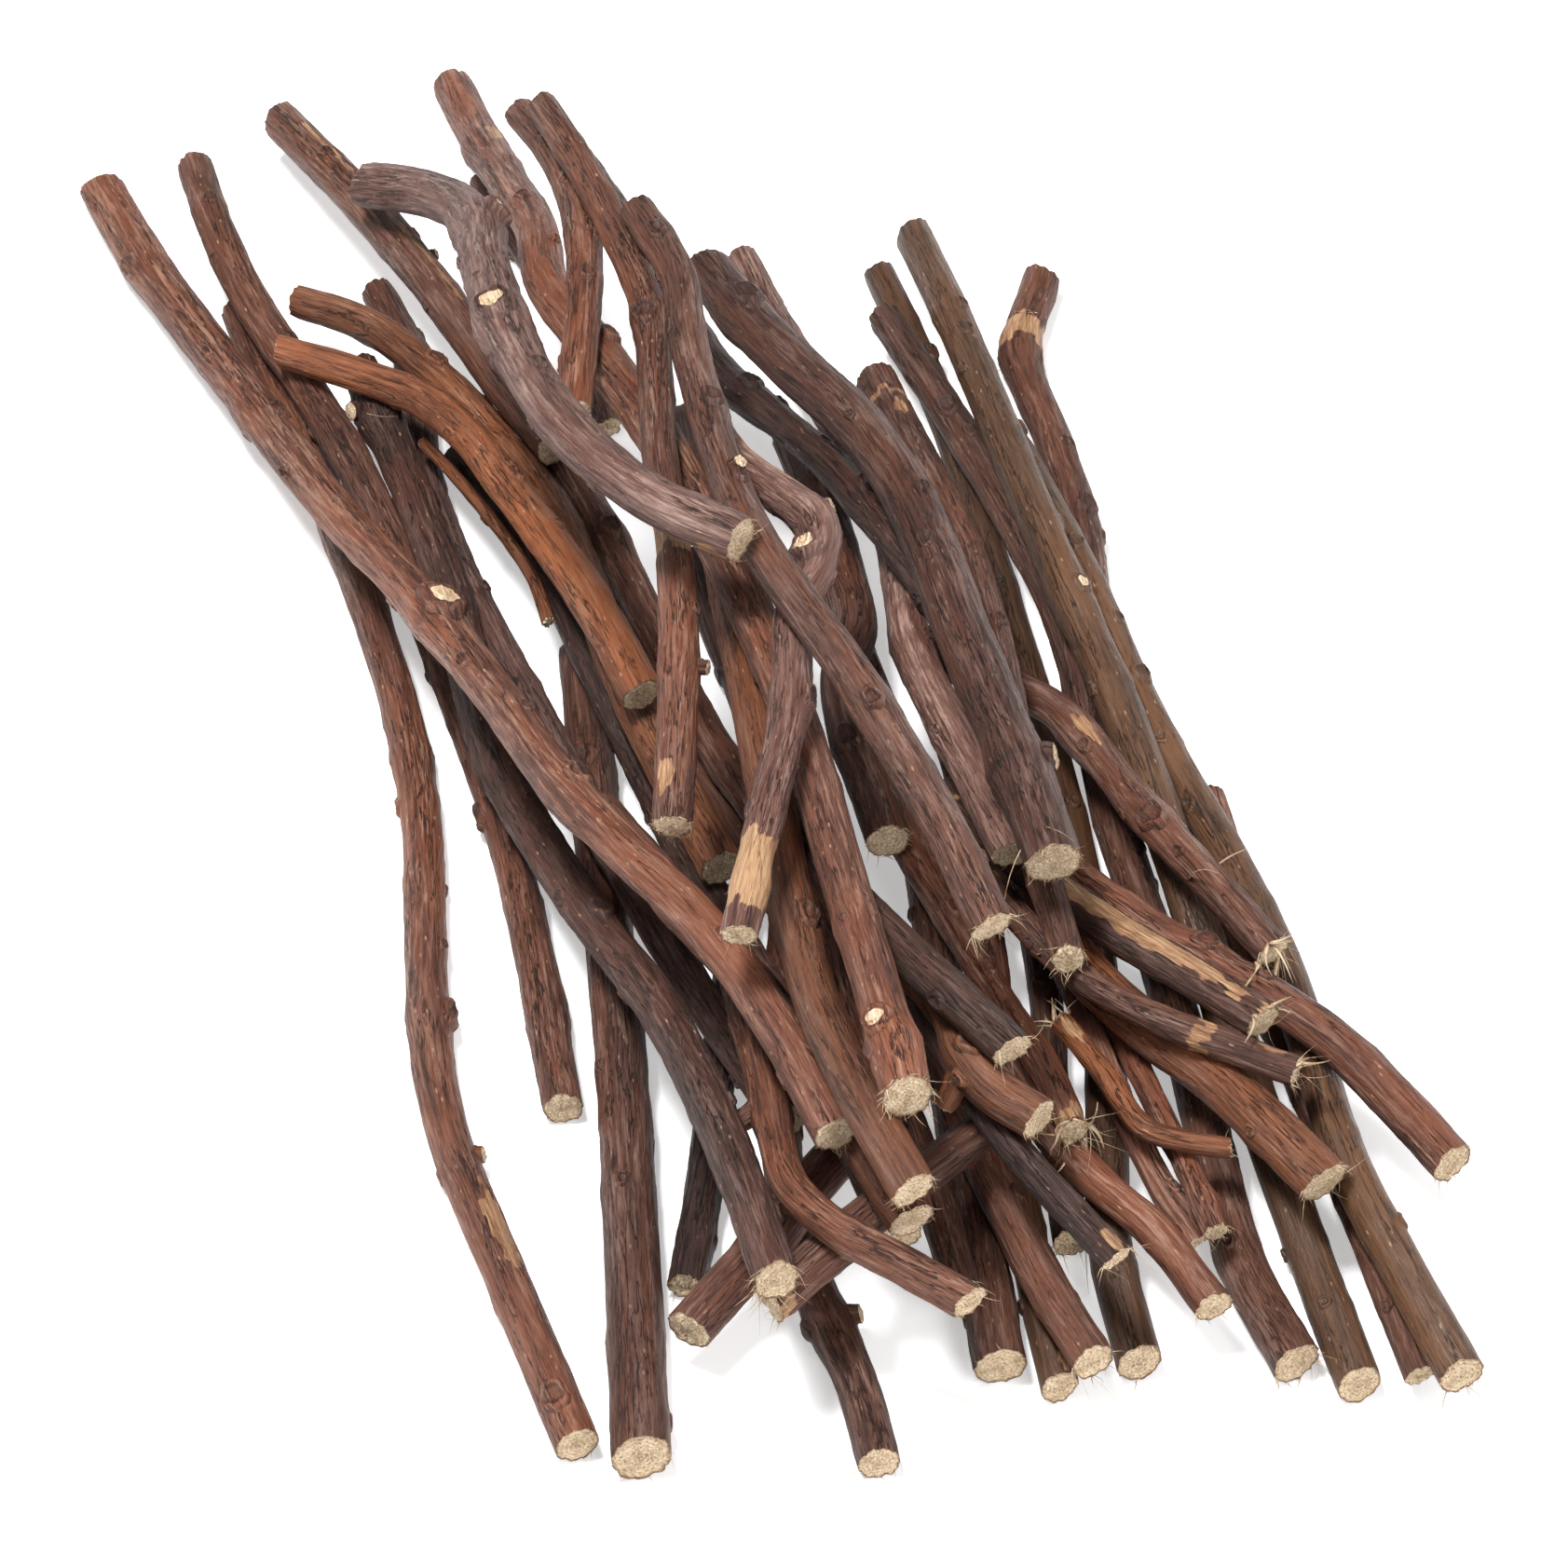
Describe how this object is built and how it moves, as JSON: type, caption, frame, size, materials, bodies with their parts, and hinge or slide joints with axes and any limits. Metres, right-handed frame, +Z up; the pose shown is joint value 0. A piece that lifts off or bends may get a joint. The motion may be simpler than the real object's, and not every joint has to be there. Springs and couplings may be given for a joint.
{
  "type": "pile of cut twigs",
  "caption": "Loose pile of cut, crooked brown twigs lying roughly one way, for craft, kindling or display.",
  "frame": {"origin": "middle of the pile's footprint, on the table that it lies on", "axes": "+Y along the twigs, towards the ends further from the camera in the picture; +Z up from the table"},
  "size_m": [0.2024, 0.4166, 0.0901],
  "materials": {
    "red_brown_bark": "dry ridged bark, red-brown, with pale worn ridges",
    "orange_brown_bark": "smoother orange-brown bark with long ridges",
    "brown_bark": "dry dull brown bark with fine long ridges",
    "lilac_grey_bark": "weathered lilac-grey bark with peeling strips",
    "olive_bark": "smooth olive-brown bark with small pale pores",
    "dark_bark": "weathered near-black bark with a grey bloom",
    "cut_wood": "bare pale wood: sawn ends, torn fibres, knots and peeled patches"
  },
  "bodies": {
    "root": {"twig_01": "red_brown_bark", "twig_02": "red_brown_bark", "twig_03": "brown_bark", "twig_04": "dark_bark", "twig_05": "brown_bark", "twig_06": "red_brown_bark", "twig_07": "brown_bark", "twig_08": "olive_bark", "twig_09": "brown_bark", "twig_10": "brown_bark", "twig_11": "olive_bark", "twig_12": "brown_bark", "twig_13": "red_brown_bark", "twig_14": "red_brown_bark", "twig_15": "brown_bark", "twig_16": "olive_bark", "twig_17": "olive_bark", "twig_18": "lilac_grey_bark", "twig_19": "dark_bark", "twig_20": "brown_bark", "twig_21": "red_brown_bark", "twig_22": "dark_bark", "twig_23": "orange_brown_bark", "twig_24": "dark_bark", "twig_25": "red_brown_bark", "twig_26": "red_brown_bark", "twig_27": "red_brown_bark", "twig_28": "orange_brown_bark", "twig_29": "orange_brown_bark", "twig_30": "brown_bark", "twig_31": "brown_bark", "twig_32": "red_brown_bark", "twig_33": "red_brown_bark", "twig_34": "red_brown_bark", "twig_35": "red_brown_bark", "twig_36": "orange_brown_bark", "twig_37": "orange_brown_bark", "twig_38": "red_brown_bark", "twig_39": "red_brown_bark", "twig_40": "brown_bark", "twig_41": "red_brown_bark", "twig_42": "orange_brown_bark", "twig_43": "brown_bark", "twig_44": "red_brown_bark", "twig_45": "lilac_grey_bark", "twig_46": "dark_bark", "twig_47": "red_brown_bark", "twig_48": "lilac_grey_bark", "twig_49": "orange_brown_bark", "twig_50": "red_brown_bark", "twig_51": "red_brown_bark", "twig_52": "lilac_grey_bark", "twig_53": "red_brown_bark", "twig_54": "red_brown_bark", "twig_55": "lilac_grey_bark"}
  },
  "joints": []
}
